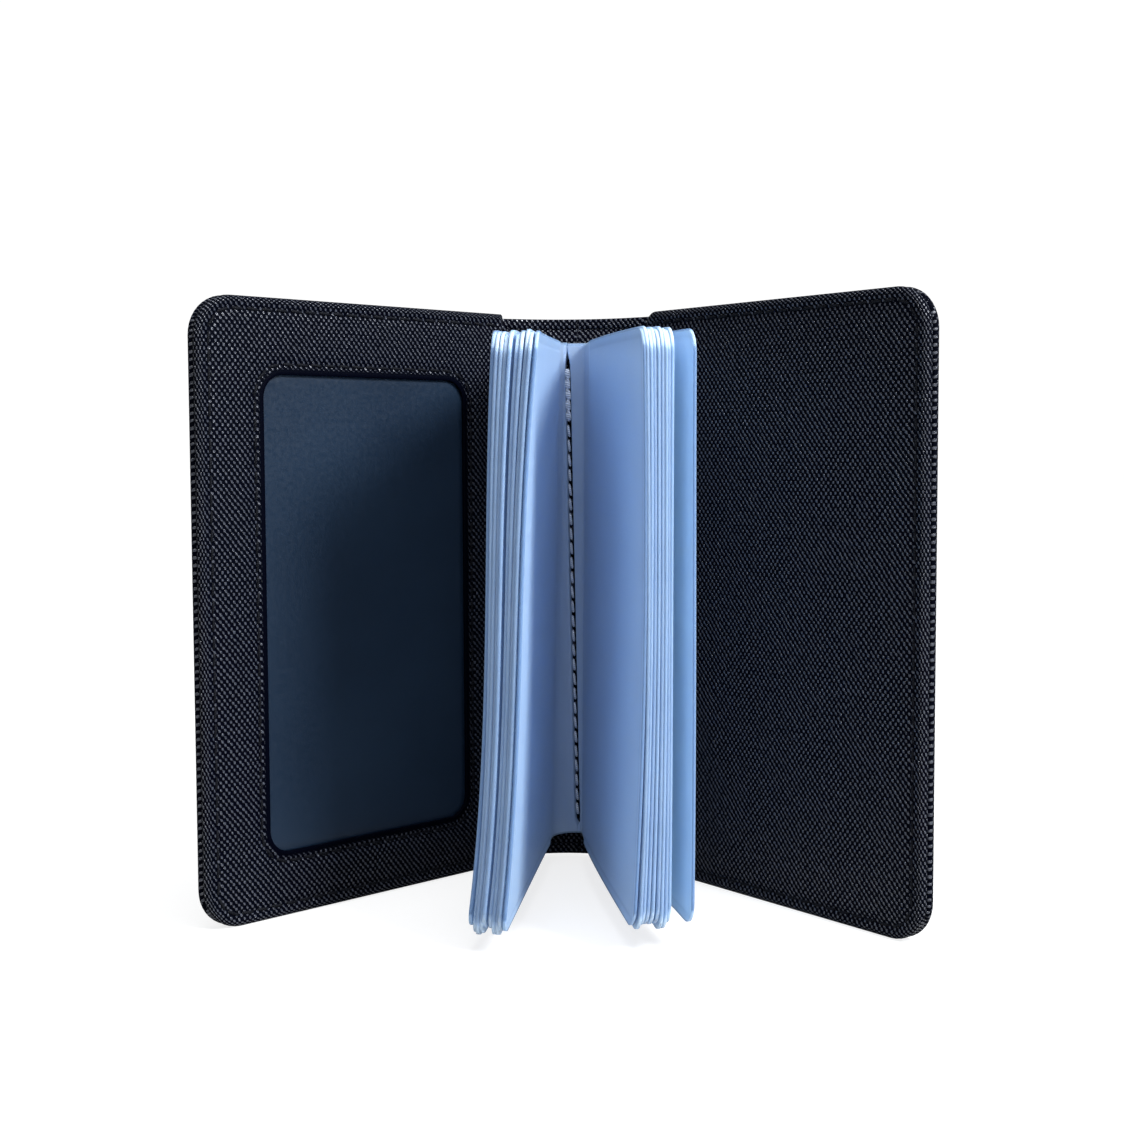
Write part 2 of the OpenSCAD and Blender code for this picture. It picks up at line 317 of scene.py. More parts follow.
class Stack:
    """Loops of equal size over a closed surface, each with its levels and its kind."""

    def __init__(self):
        self.loops, self.levels, self.kinds = [], [], []

    def add(self, loop, level, kind):
        self.loops.append(loop)
        self.levels.append(np.broadcast_to(level, len(loop)))
        self.kinds.append(kind)

    def joined(self):
        """Flat places and their levels, one row a point."""
        return np.concatenate(self.loops), np.concatenate(self.levels)

    def of_kind(self, kind):
        """1 at the points of the loops of a kind, 0 elsewhere."""
        return np.repeat([float(k == kind) for k in self.kinds], len(self.loops[0]))

    def faces(self, ring=False):
        """Faces between the loops. The end loops are closed across, or joined in a ring."""
        count, size = len(self.loops), len(self.loops[0])
        i = np.arange(size)
        j = (i + 1) % size
        made = []
        for k in range(count if ring else count - 1):
            a, b = k * size, (k + 1) % count * size
            made += np.column_stack([a + i, a + j, b + j, b + i]).tolist()
        half = size // 2
        i = np.arange(1, half - 1)
        for first in () if ring else (0, (count - 1) * size):
            made.append([first, first + 1, first + size - 1])
            made += (first + np.column_stack([i, i + 1, size - i - 1, size - i])).tolist()
            made.append([first + half - 1, first + half, first + half + 1])
        return made

    def outwards(self):
        """Outward directions at every point."""
        made = []
        for loop in self.loops:
            ahead = np.roll(loop, -1, 0) - np.roll(loop, 1, 0)
            ahead /= np.maximum(np.hypot(*ahead.T), 1e-9)[:, None]
            made.append(np.column_stack([ahead[:, 1], -ahead[:, 0]]))
        return np.concatenate(made)

    def unrolled(self):
        """How far past its outline each point of a turned edge lay while the sheet was flat."""
        run = [np.zeros(len(self.loops[0]))]
        for step, rise in zip(np.diff(self.loops, axis=0), np.abs(np.diff(self.levels, axis=0))):
            step = np.hypot(*step.T)
            run.append(run[-1] + np.where(rise > 0.02, np.hypot(step, rise), 0))
        return np.array(run)


# ---------- seams ----------


class Seam:
    """A row of stitches along a rounded rectangle, closed or open on its fold side."""

    def __init__(self, u0, u1, z0, z1, r, closed, pitch=STITCH_PITCH):
        self.half = np.array(((u1 - u0) / 2, (z1 - z0) / 2))
        self.centre = np.array(((u1 + u0) / 2, (z1 + z0) / 2))
        self.r = r
        self.closed = closed
        self.start = u0
        path = outline(u0, u1, z0, z1, r if closed else 0.01, r)
        if closed:
            path = np.vstack([path, path[:1]])
        else:
            skip = HEIGHT_STEPS + CORNER_STEPS
            path = path[skip:-skip + 1]
        along = np.concatenate([[0], np.cumsum(np.hypot(*np.diff(path, axis=0).T))])
        count = int(along[-1] / pitch)
        middle = (np.arange(count) + 0.5) * along[-1] / count

        def point(s):
            return np.column_stack([np.interp(s, along, path[:, i]) for i in (0, 1)])

        self.spots = point(middle)
        ahead = point(middle + 0.3) - point(middle - 0.3)
        self.ahead = ahead / np.hypot(*ahead.T)[:, None]
        reach = self.ahead * along[-1] / count / 2
        self.holes = np.concatenate([self.spots - reach, self.spots + reach])

    def away(self, u, z):
        """Distance of places from the seam line, negative inside it. An open seam's sides are
        taken to run on for far enough past the fold."""
        runs_on = np.array((0.0 if self.closed else 40.0, 0.0))
        q = np.abs(np.column_stack([u, z]) - self.centre + runs_on) - self.half - runs_on + self.r
        outside = np.hypot(*np.maximum(q, 0).T)
        return outside + np.minimum(q.max(1), 0) - self.r

    def dip(self, u, z):
        """How far the sewing pulls the leatherette in."""
        away = np.abs(self.away(u, z))
        depth = SEAM_CHANNEL * np.exp(-(away / 0.75) ** 2)
        if not self.closed:
            depth *= smooth(u, self.start - 0.6, self.start + 0.6)
        near = np.flatnonzero(away < 1.5)
        for i in range(0, len(near), 4000):
            part = near[i:i + 4000]
            gap = np.hypot(u[part, None] - self.holes[:, 0], z[part, None] - self.holes[:, 1])
            depth[part] += NEEDLE_DIP * np.exp(-(gap.min(1) / 0.42) ** 2)
        return depth


class Thread:
    """Stitches gathered into one mesh."""

    SHARES = np.array((-1, -0.94, -0.8, -0.5, -0.17, 0.17, 0.5, 0.8, 0.94, 1))
    FULLNESS = np.array((0.12, 0.5, 0.82, 0.98, 1, 1, 0.98, 0.82, 0.5, 0.12))
    SIDES = 8

    def __init__(self):
        self.points, self.faces, self.uv, self.count = [], [], [], 0

    def add(self, place, level, up, spots, ahead, length=STITCH_LEN, width=STITCH_W, lift=0.1):
        """Stitches that rise above level on the side that up, 1 or -1, gives."""
        slant = STITCH_SLANT * up
        for (u, z), (du, dz) in zip(spots, ahead):
            wobble = rng.normal(0, 0.02)
            angle = math.atan2(dz, du) + slant + wobble
            along = self.SHARES * length * (1 + wobble) / 2
            turn = 2 * math.pi * np.arange(self.SIDES) / self.SIDES
            x, turn = np.meshgrid(along, turn, indexing="ij")
            full = np.repeat(self.FULLNESS[:, None], self.SIDES, 1)
            side = width / 2 * np.cos(turn) * full
            sink = 0.3 * np.abs(x / (length / 2)) ** 3
            rise = lift - sink + STITCH_T / 2 * np.sin(turn) * full
            c, s = math.cos(angle), math.sin(angle)
            self.points.append(place(
                (u + x * c - side * s).ravel(),
                (level + up * rise).ravel(),
                (z + x * s + side * c).ravel(),
            ))
            self.uv.append(np.column_stack([x.ravel(), turn.ravel() / math.pi]))
            self.add_faces(len(along))

    def add_faces(self, rings):
        i = np.arange(self.SIDES)
        j = (i + 1) % self.SIDES
        for k in range(rings - 1):
            a = self.count + k * self.SIDES
            b = a + self.SIDES
            self.faces += np.column_stack([a + i, a + j, b + j, b + i]).tolist()
        last = self.count + (rings - 1) * self.SIDES
        self.faces.append((self.count + i).tolist())
        self.faces.append((last + i).tolist())
        self.count += rings * self.SIDES

    def build(self, name, material, slot):
        points = np.concatenate(self.points)
        return build(name, points, self.faces, material, np.concatenate(self.uv))


EDGE_SEAMS = {
    cover.name: Seam(SEAM_INSET, cover.width - SEAM_INSET, SEAM_INSET, COVER_H - SEAM_INSET,
                     CORNER_R - SEAM_INSET, closed=False)
    for cover in (LEFT, RIGHT)
}
film_low, film_high = LEFT.measure("id_window_film")
WINDOW_BOX = (film_low[0] + WINDOW_MARGIN, film_high[0] - WINDOW_MARGIN,
              film_low[2] + WINDOW_MARGIN, film_high[2] - WINDOW_MARGIN)


def window_outline(grow):
    """The window's edge, moved outwards by grow."""
    u0, u1, z0, z1 = WINDOW_BOX
    r = WINDOW_R + grow
    return outline(u0 - grow, u1 + grow, z0 - grow, z1 + grow, r, r)


WINDOW_SEAM_LINE = Seam(WINDOW_BOX[0] - WINDOW_SEAM, WINDOW_BOX[1] + WINDOW_SEAM,
                        WINDOW_BOX[2] - WINDOW_SEAM, WINDOW_BOX[3] + WINDOW_SEAM,
                        WINDOW_R + WINDOW_SEAM, closed=True)

# ---------- materials ----------


class Shader:
    """A material with a Principled shader, and short ways to add nodes to it."""

    def __init__(self, name, **values):
        self.material = bpy.data.materials.new(name)
        self.material.use_nodes = True
        self.tree = self.material.node_tree
        self.shader = self.tree.nodes["Principled BSDF"]
        for socket, value in values.items():
            self.shader.inputs[socket.replace("_", " ")].default_value = value

    def node(self, kind, inputs=(), **settings):
        node = self.tree.nodes.new("ShaderNode" + kind)
        for key, value in settings.items():
            setattr(node, key, value)
        for socket, value in dict(inputs).items():
            if isinstance(value, bpy.types.NodeSocket):
                self.tree.links.new(value, node.inputs[socket])
            else:
                node.inputs[socket].default_value = value
        return node

    def math(self, operation, *values, clamp=False):
        node = self.node("Math", enumerate(values), operation=operation, use_clamp=clamp)
        return node.outputs[0]

    def cut_coordinates(self):
        """The sheet's own flat coordinates, in millimetres."""
        return self.node("UVMap", uv_map="Cut").outputs[0]

    def place_coordinates(self):
        """The object's own coordinates, in millimetres."""
        place = self.node("TexCoord").outputs["Object"]
        scale = self.node("VectorMath", {0: place, 1: (1 / MM,) * 3}, operation="MULTIPLY")
        return scale.outputs[0]

    def attribute(self, name):
        return self.node("Attribute", attribute_name=name).outputs["Fac"]

    def noise(self, vector, scale, detail=2.0, roughness=0.5):
        inputs = {"Vector": vector, "Scale": scale, "Detail": detail, "Roughness": roughness}
        return self.node("TexNoise", inputs).outputs["Fac"]

    def range(self, value, low, high, to_low, to_high, kind="SMOOTHSTEP"):
        inputs = {"Value": value, "From Min": low, "From Max": high,
                  "To Min": to_low, "To Max": to_high}
        return self.node("MapRange", inputs, interpolation_type=kind).outputs[0]

    def colours(self, factor, *stops):
        """A colour ramp through stops of (place, (r, g, b))."""
        ramp = self.node("ValToRGB", {"Fac": factor})
        while len(ramp.color_ramp.elements) < len(stops):
            ramp.color_ramp.elements.new(0.5)
        for element, (place, colour) in zip(ramp.color_ramp.elements, stops):
            element.position = place
            element.color = (*colour, 1)
        return ramp.outputs[0]

    def wire(self, socket, value):
        self.tree.links.new(value, self.shader.inputs[socket])

    def bump(self, height, distance, strength=1.0):
        inputs = {"Height": height, "Distance": distance * MM, "Strength": strength}
        self.wire("Normal", self.node("Bump", inputs).outputs[0])


def leatherette():
    """Cross-grained coated leatherette: slanting rows of small bumps, in places joined to ribs.
    The mask "smooth" leaves the grain out, and "raw" shows the pale cloth of a cut edge."""
    s = Shader("leatherette")
    flat = s.cut_coordinates()
    drift = s.node("TexNoise", {"Vector": flat, "Scale": 0.35, "Detail": 1.0}).outputs["Color"]
    drift = s.node("VectorMath", {0: drift, 1: (0.5, 0.5, 0.5)}, operation="SUBTRACT").outputs[0]
    moved = s.node("VectorMath", {0: drift, 1: (GRAIN_DRIFT, GRAIN_DRIFT, 0), 2: flat},
                   operation="MULTIPLY_ADD").outputs[0]
    split = s.node("SeparateXYZ", {0: moved})
    across = s.math("MULTIPLY", split.outputs[0], 2 * math.pi / GRAIN_X)
    up = s.math("MULTIPLY", split.outputs[1], math.pi / GRAIN_Z)
    rows = s.math("COSINE", s.math("ADD", across, up))
    cuts = s.math("COSINE", s.math("SUBTRACT", across, up))
    patches = s.noise(flat, 0.09, detail=2.0)
    joined = s.range(patches, 0.3, 0.7, 0.53, 0.67)
    lattice = s.math("ADD", s.math("MULTIPLY", rows, joined),
                     s.math("MULTIPLY", cuts, s.math("SUBTRACT", 1.0, joined)))
    uneven = s.math("MULTIPLY", s.math("SUBTRACT", s.noise(flat, 1.1, detail=2.0), 0.5), 0.9)
    bumps = s.range(s.math("ADD", lattice, uneven), -0.3, 0.6, 0.0, 1.0)
    pores = s.noise(flat, 5.0, detail=3.0, roughness=0.65)
    grainy = s.math("SUBTRACT", 1.0, s.attribute("smooth"))
    strength = s.math("MULTIPLY", grainy, s.range(patches, 0.3, 0.7, 0.98, 0.9))
    relief = s.math("MULTIPLY", bumps, strength)
    height = s.math("ADD", relief, s.math("MULTIPLY", pores, 0.2))
    s.bump(height, 0.34)
    # Bump tops: glossier, and painted lighter in the base colour, a painted highlight on each bump
    tips_gloss_and_painted_highlight = s.math("MULTIPLY", relief, s.range(pores, 0.3, 0.6, 0.5, 1.0))
    tone = s.math("ADD", s.math("MULTIPLY", tips_gloss_and_painted_highlight, 0.8), s.attribute("raw"), clamp=True)
    # Base colour: painted highlights on the bump tops and painted shade, near black, in the valleys
    # between them; the top stop is the raw cut edge's pale cloth
    s.wire("Base Color", s.colours(tone, (0.12, (0.0002, 0.0006, 0.0034)),
                                   (0.46, (0.014, 0.0165, 0.026)),
                                   (0.8, (0.072, 0.079, 0.102)),
                                   (1.0, (0.15, 0.165, 0.165))))
    s.wire("Specular IOR Level", s.range(tips_gloss_and_painted_highlight, 0.3, 0.9, 0.02, 0.7))
    s.wire("Roughness", s.range(tips_gloss_and_painted_highlight, 0.1, 0.9, 0.55, 0.22))
    return s.material


def thread(name, dark, light, roughness):
    """Twisted sewing thread: plies that wind round each stitch."""
    s = Shader(name, Specular_IOR_Level=0.12)
    split = s.node("SeparateXYZ", {0: s.cut_coordinates()})
    lean = s.math("ADD", s.math("MULTIPLY", split.outputs[0], 2 * math.pi / 0.42),
                  s.math("MULTIPLY", split.outputs[1], 2 * math.pi))
    ply = s.range(s.math("SINE", lean), -1.0, 0.7, 0.0, 1.0)
    fuzz = s.noise(s.place_coordinates(), 9.0, detail=3.0)
    s.bump(s.math("ADD", ply, s.math("MULTIPLY", fuzz, 0.3)), 0.06)
    # The grooves between the plies are painted darker, painted shade; the fuzz varies the tone at
    # random
    tone = s.math("ADD", s.math("MULTIPLY", ply, 0.6), s.math("MULTIPLY", fuzz, 0.4))
    s.wire("Base Color", s.colours(tone, (0.15, dark), (0.85, light)))
    s.wire("Roughness", s.range(fuzz, 0.3, 0.7, roughness, roughness + 0.2))
    return s.material


def sleeve_film():
    """Frosted, faintly blue film with a faint painted glow all over, for light passing through the
    stack of films. Its cut edges are painted darker, painted shade, and its welds are darker.
    """
    # Emission: a painted glow, standing in for light passing through the films
    s = Shader("sleeve_film", Specular_IOR_Level=0.22, Subsurface_Weight=0.5,
               Subsurface_Scale=0.003, Subsurface_Radius=(0.7, 0.85, 1.0),
               Emission_Color=(0.34, 0.49, 0.76, 1), Emission_Strength=0.032)
    flat = s.cut_coordinates()
    cloud = s.noise(flat, 0.06, detail=2.0)
    speck = s.noise(flat, 2.6, detail=3.0, roughness=0.6)
    edge = s.attribute("edge")
    weld = s.attribute("weld")
    depth = s.attribute("depth")
    tone = s.math("ADD", s.math("MULTIPLY", cloud, 0.16), s.math("MULTIPLY", speck, 0.05))
    # depth: painted light, lighter towards the tips of the inner leaves and along the pockets' mouths
    tone = s.math("ADD", tone, s.math("MULTIPLY", depth, 0.5))
    tone = s.math("ADD", tone, 0.3)
    # Painted shade: the cut edges are painted darker, to hold down the light they catch
    tone = s.math("SUBTRACT", tone, s.math("MULTIPLY", edge, 0.75))
    tone = s.math("SUBTRACT", tone, s.math("MULTIPLY", weld, 0.15), clamp=True)
    s.wire("Base Color", s.colours(tone, (0.0, (0.13, 0.215, 0.385)), (0.3, (0.29, 0.42, 0.65)),
                                   (0.6, (0.385, 0.545, 0.81)), (1.0, (0.55, 0.72, 0.94))))
    s.wire("Roughness", s.range(s.math("ADD", speck, s.math("MULTIPLY", weld, 0.2)),
                                0.3, 0.8, 0.36, 0.5))
    frost = s.noise(flat, 3.4, detail=3.0, roughness=0.7)
    s.bump(s.math("ADD", frost, s.math("MULTIPLY", cloud, 3.0)), 0.015)
    return s.material


def window_film():
    """Dark, slightly hazy film over the black pocket behind it."""
    s = Shader("window_film", Specular_IOR_Level=0.5, Coat_Weight=0.35, Coat_Roughness=0.16)
    flat = s.cut_coordinates()
    haze = s.noise(flat, 0.03, detail=2.0)
    grime = s.noise(flat, 1.2, detail=4.0, roughness=0.65)
    tone = s.math("ADD", s.math("MULTIPLY", haze, 0.8), s.math("MULTIPLY", grime, 0.2))
    s.wire("Base Color", s.colours(tone, (0.3, (0.003, 0.010, 0.024)),
                                   (0.7, (0.009, 0.021, 0.042))))
    s.wire("Roughness", s.range(grime, 0.3, 0.7, 0.3, 0.42))
    s.bump(s.math("ADD", s.math("MULTIPLY", haze, 4.0), s.math("MULTIPLY", grime, 0.1)), 0.05)
    return s.material


def woven(name, dark, light, pitch, coordinates):
    """Plain-woven lining cloth."""
    s = Shader(name, Specular_IOR_Level=0.25, Sheen_Weight=0.3, Sheen_Roughness=0.5)
    place = s.cut_coordinates() if coordinates == "cut" else s.place_coordinates()
    split = s.node("SeparateXYZ", {0: place})
    upright = split.outputs[1] if coordinates == "cut" else split.outputs[2]
    warp = s.math("SINE", s.math("MULTIPLY", split.outputs[0], 2 * math.pi / pitch))
    weft = s.math("SINE", s.math("MULTIPLY", upright, 2 * math.pi / pitch))
    weave = s.range(s.math("MULTIPLY", warp, weft), -0.8, 0.8, 0.0, 1.0)
    fuzz = s.noise(place, 4.0, detail=3.0)
    s.bump(s.math("ADD", weave, s.math("MULTIPLY", fuzz, 0.4)), 0.05)
    # The weave's low points are painted darker, painted shade between the yarns
    s.wire("Base Color", s.colours(weave, (0.1, dark), (0.9, light)))
    s.wire("Roughness", s.range(fuzz, 0.3, 0.7, 0.75, 0.95))
    return s.material


def foam():
    s = Shader("foam", Specular_IOR_Level=0.2)
    cells = s.node("TexVoronoi", {"Vector": s.place_coordinates(), "Scale": 3.0}).outputs[0]
    s.bump(cells, 0.12)
    # The cells' pits are painted darker, painted shade in the hollows
    s.wire("Base Color", s.colours(cells, (0.1, (0.05, 0.05, 0.055)), (0.7, (0.12, 0.12, 0.13))))
    s.wire("Roughness", s.range(cells, 0.0, 0.8, 0.95, 0.8))
    return s.material


def fibre_board():
    s = Shader("fibre_board", Specular_IOR_Level=0.25)
    place = s.place_coordinates()
    stretch = s.node("VectorMath", {0: place, 1: (0.4, 0.4, 1.6)}, operation="MULTIPLY")
    fibres = s.noise(stretch.outputs[0], 2.5, detail=4.0, roughness=0.7)
    s.bump(fibres, 0.05)
    s.wire("Base Color", s.colours(fibres, (0.3, (0.19, 0.13, 0.08)), (0.7, (0.36, 0.27, 0.18))))
    s.wire("Roughness", s.range(fibres, 0.3, 0.7, 0.8, 0.95))
    return s.material


LEATHERETTE = leatherette()
BLACK_THREAD = thread("black_thread", (0.0004, 0.0007, 0.0022), (0.004, 0.005, 0.009), 0.5)
PALE_THREAD = thread("pale_thread", (0.32, 0.37, 0.44), (0.8, 0.86, 0.93), 0.55)
SLEEVE_FILM = sleeve_film()
WINDOW_FILM = window_film()
LINING_CLOTH = woven("lining_cloth", (0.004, 0.004, 0.006), (0.016, 0.016, 0.021), 0.42, "cut")
BACKING_CLOTH = woven("backing_cloth", (0.004, 0.004, 0.006), (0.014, 0.014, 0.019), 0.42, "place")
FOAM = foam()
FIBRE_BOARD = fibre_board()

# ---------- outer skin ----------

# How far in from the outline the loops of the skin's face lie
FACE_INSETS = (9, 6.5, 4.6, 3.7, 3.1, 2.8, 2.5, 2.2, 1.9, 1.6, 1.3, 1.0, 0.8)


def lip_height(u):
    """How high the skin's turned edge stands: low on the fold, round the padding on the cover."""
    return np.interp(u, (-3.4, -2.2, 0.5, 1.9), (LINING_TOP, SKIN_T, SKIN_T, LEFT.rim_top))


def skin_outline(cover, on_cover, on_spine):
    """The skin's outline, moved in by one inset on the cover and by another on the spine."""
    kept = np.arange(-4, 4.01, 0.5)
    middle = 0.12 * on_spine - HALF_SPINE
    free = cover.width - on_cover
    r = max(CORNER_R - on_cover, 1.2)
    by_cover = outline(middle, free, on_cover, COVER_H - on_cover, 0.05, r, kept)
    by_spine = outline(middle, free, SPINE_Z0 + on_spine, SPINE_Z1 - on_spine, 0.05, r, kept)
    share = 1 - smooth(by_cover[:, :1], -1.8, 1.2)
    return by_cover * (1 - share) + by_spine * share


def outer_skin(cover):
    """The skin of one cover with its half of the spine, edges turned in all the way round."""
    hem = LINING_Z0 - SPINE_Z0
    stack = Stack()
    first = skin_outline(cover, FACE_INSETS[0], FACE_INSETS[0])
    for loop in inwards(first, core_of(first, 26, 1.5), 12)[::-1]:
        stack.add(loop, 0, "face")
    for inset in FACE_INSETS:
        stack.add(skin_outline(cover, inset, inset), 0, "face")
    for turn in np.radians(np.linspace(-90, 90, 9)):
        pull = 1 - math.cos(turn)
        loop = skin_outline(cover, EDGE_LIP * pull, SPINE_LIP * pull)
        stack.add(loop, (1 + math.sin(turn)) / 2 * lip_height(loop[:, 0]), "lip")
    for on_cover, on_spine in ((EDGE_LIP + 0.01, hem * 0.6), (EDGE_LIP + 0.02, hem - 0.02)):
        loop = skin_outline(cover, on_cover, on_spine)
        stack.add(loop, lip_height(loop[:, 0]), "lip")
    for inset in (0, 3, 7):
        stack.add(skin_outline(cover, EDGE_LIP + 0.04 + inset, hem + inset), SKIN_T, "back")
    last = stack.loops[-1]
    for loop in inwards(last, core_of(last, 26, 1.5), 5):
        stack.add(loop, SKIN_T, "back")

    flat, t = stack.joined()
    u, z = flat.T
    seam = EDGE_SEAMS[cover.name]
    inside = smooth(-seam.away(u, z), 0.3, 9) * smooth(u, 1, 9)
    crown = inside * (0.22 + 0.05 * ripple(u, z, 34, cover.side))
    wrinkle = np.exp(-(u / 2.4) ** 2) * 0.07 * ripple(z * 3.1, u, 21, 2 + cover.side)
    t = t + stack.of_kind("face") * (seam.dip(u, z) - crown + wrinkle)
    cut = flat + stack.unrolled().reshape(-1, 1) * stack.outwards()
    obj = build(cover.name + "_outer_skin", cover.at(u, t, z), stack.faces(), LEATHERETTE,
                cut * (cover.side, 1))
    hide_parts(cover.name + "_skin", *(["spine_skin"] if cover is LEFT else []))
    ends = cover.at((FOLD_REACH, -FOLD_REACH), SKIN_T / 2, COVER_H / 2) * MM
    tuple(ends[0])
    tuple(ends[1])
    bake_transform(obj)


# ---------- inner panels ----------


def pocket_mouth(u, z):
    """1 along the fold side, where the panel is open to the pocket behind it."""
    low = smooth(z, HEM_W - 0.6, HEM_W + 0.6)
    high = 1 - smooth(z, COVER_H - HEM_W - 0.6, COVER_H - HEM_W + 0.6)
    return low * high * (1 - smooth(u, HEM_W, HEM_W + 1))


def panel_outline(cover, inset):
    """An inner panel's outline, moved in by an inset."""
    return outline(cover.panel_start + inset, cover.width - inset, inset, COVER_H - inset,
                   PANEL_FOLD_R[cover.side] + 0.2 * inset, max(CORNER_R - inset, 1.5))


def under_level(cover, u, z):
    """Level of a panel's under side, with its hems on three edges and at the pocket's mouth."""
    under = cover.top - PANEL_T
    edge = np.minimum(np.minimum(cover.width - u, z), COVER_H - z)
    hem = 1 - smooth(edge, HEM_W - 1, HEM_W)
    sewn = under - (under - cover.hem_level) * hem
    return np.minimum(sewn, under - MOUTH_HEM_T * pocket_mouth(u, z) * (1 - hem))


def add_turned_edge(stack, cover):
    """A panel's edge, turned from the under side to the top. The hem ends in a raw cut."""
    base = panel_outline(cover, 0)
    mouth = pocket_mouth(*base.T) * (base[:, 0] < 1)
    hem = under_level(cover, base[:, 0] + 0.02, base[:, 1])
    low = (1 - mouth) * hem + mouth * (cover.top - PANEL_T - MOUTH_HEM_T)
    middle, half = (cover.top + low) / 2, (cover.top - low) / 2
    for k, turn in enumerate(np.radians(np.linspace(-90, 90, 11))):
        inset = (0.95 - 0.35 * mouth) * (1 - math.cos(turn))
        loop = base + (panel_outline(cover, 1) - base) * inset[:, None]
        stack.add(loop, middle + half * math.sin(turn), "cut" if k < 2 else "edge")


def add_window_edge(stack, cover):
    """A panel's top as far as the window, and its rim turned down round the window."""
    for loop in inwards(panel_outline(cover, 6), window_outline(3.4), 4):
        stack.add(loop, cover.top, "top")
    for grow in (2.9, 2.5, 2.25, 2.05, 1.85, 1.7, 1.55, 1.35, 1.2, 1.1, 1.0):
        stack.add(window_outline(grow), cover.top, "top")
    for turn in np.radians(np.linspace(180, 20, 9)):
        loop = window_outline(WINDOW_RIM / 2 * (1 - math.cos(turn)))
        stack.add(loop, cover.top - 0.1 + 0.08 * math.sin(turn), "rim")
    stack.add(window_outline(0), cover.top - PANEL_T + 0.1, "rim")
    stack.add(window_outline(0.3), cover.top - PANEL_T, "under")


def inner_panel(cover, name, node, window):
    """A panel with its edges turned back, sewn down on three sides."""
    stack = Stack()
    below = [panel_outline(cover, inset) for inset in (1.4, 3, 5, 5.9, 6.3, 6.7, 7.1, 7.6, 8.2)]
    if window:
        below += inwards(below[-1], window_outline(0.6), 3)
    else:
        below += inwards(below[-1], core_of(below[-1], 12, 1.2), 7)
    for loop in below[::-1]:
        stack.add(loop, under_level(cover, *loop.T), "under")
    add_turned_edge(stack, cover)
    for inset in (1.15, 1.4, 1.6, 1.8, 2.0, 2.2, 2.4, 2.6, 2.8, 3.1, 3.5, 4.1, 5):
        stack.add(panel_outline(cover, inset), cover.top, "top")
    if window:
        add_window_edge(stack, cover)
    else:
        last = panel_outline(cover, 6)
        for loop in inwards(last, core_of(last, 12, 1.2), 12):
            stack.add(loop, cover.top, "top")

    flat, t = stack.joined()
    u, z = flat.T
    seam = EDGE_SEAMS[cover.name]
    on_top = stack.of_kind("top")
    rim = stack.of_kind("rim")
    dip = seam.dip(u, z)
    crown = smooth(-seam.away(u, z), 0.2, 6) * (0.1 + 0.07 * ripple(u, z, 38, 3 + cover.side))
    if window:
        away = WINDOW_SEAM_LINE.away(u, z)
        dip = dip + WINDOW_SEAM_LINE.dip(u, z)
        crown = crown * smooth(away, 0, 2.5)
        rim = np.maximum(rim, on_top * (1 - smooth(away + WINDOW_SEAM, WINDOW_RIM, WINDOW_RIM + 0.2)))
    t = t + on_top * (crown - dip)
    run = stack.unrolled()
    turned = (run[stack.kinds.index("top")] - run).clip(0)
    cut = flat + turned.reshape(-1, 1) * stack.outwards()
    raw = 0.8 * stack.of_kind("cut") * smooth(u, cover.width - 4, cover.width - 1)
    obj = build(name, cover.at(u, t, z), stack.faces(ring=window), LEATHERETTE,
                cut * (cover.side, 1), {"smooth": rim, "raw": raw})
    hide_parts(node)
    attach(obj, cover.name)


# ---------- flat sheets inside the covers ----------

# The bend at the end of a pocket's lining, and how far the lining hangs down past it
WRAP_R = 0.3
WRAP_LENGTH = 0.8


def sheet(name, place, loop, low, high, material, wave=0.0, seed=1):
    """A thin closed sheet between two levels, with rounded edges."""
    half = (high - low) / 2
    middle = (loop.min(0) + loop.max(0)) / 2
    reach = np.hypot(*(loop - middle).T)
    inner = inwards(loop, core_of(loop, 10, 1.0), 9)
    stack = Stack()
    for ring in inner[::-1]:
        stack.add(ring, low, "face")
    for turn in np.radians(np.linspace(-90, 90, 5)):
        pull = half * (1 - math.cos(turn)) / reach
        ring = loop + (middle - loop) * pull[:, None]
        stack.add(ring, (low + high) / 2 + half * math.sin(turn), "edge")
    for ring in inner:
        stack.add(ring, high, "face")
    flat, t = stack.joined()
    u, z = flat.T
    out = np.hypot(*(flat - middle).T) / reach.max()
    t = t + wave * ripple(u, z, 46, seed) * (1 - out ** 4)
    return build(name, place(u, t, z), stack.faces(), material, flat)


def pocket_lining(cover, name, node):
    """Lining cloth of a slip pocket. Its end wraps down over the board at the pocket's mouth."""
    top = cover.lining_top
    start = cover.lining_start
    quarter = WRAP_R * math.pi / 2

    def place(u, t, z):
        past = np.clip(start - u, 0, None)
        turn = np.minimum(past / WRAP_R, math.pi / 2)
        down = np.clip(past - quarter, 0, None)
        r = WRAP_R - (top - t)
        new_u = np.where(past > 0, start - r * np.sin(turn), u)
        new_t = np.where(past > 0, top - WRAP_R + r * np.cos(turn) - down, t)
        return cover.at(new_u, new_t, z)

    inset = cover.lining_inset
    loop = outline(start - quarter - WRAP_LENGTH + WRAP_R, cover.width - inset,
                   inset, COVER_H - inset, 0.2, CORNER_R - inset)
    obj = sheet(name, place, loop, top - LINING_T, top, LINING_CLOTH)
    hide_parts(node)
    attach(obj, cover.name)


def spine_lining():
    loop = outline(-LINING_HALF, LINING_HALF, LINING_Z0, LINING_Z1, 0.2, 0.2)
    obj = sheet("spine_inner_strip", spine_at, loop, SKIN_T + 0.02, LINING_TOP, LEATHERETTE,
                wave=0.03, seed=5)
    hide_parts("spine_lining")
    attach(obj, "spine")


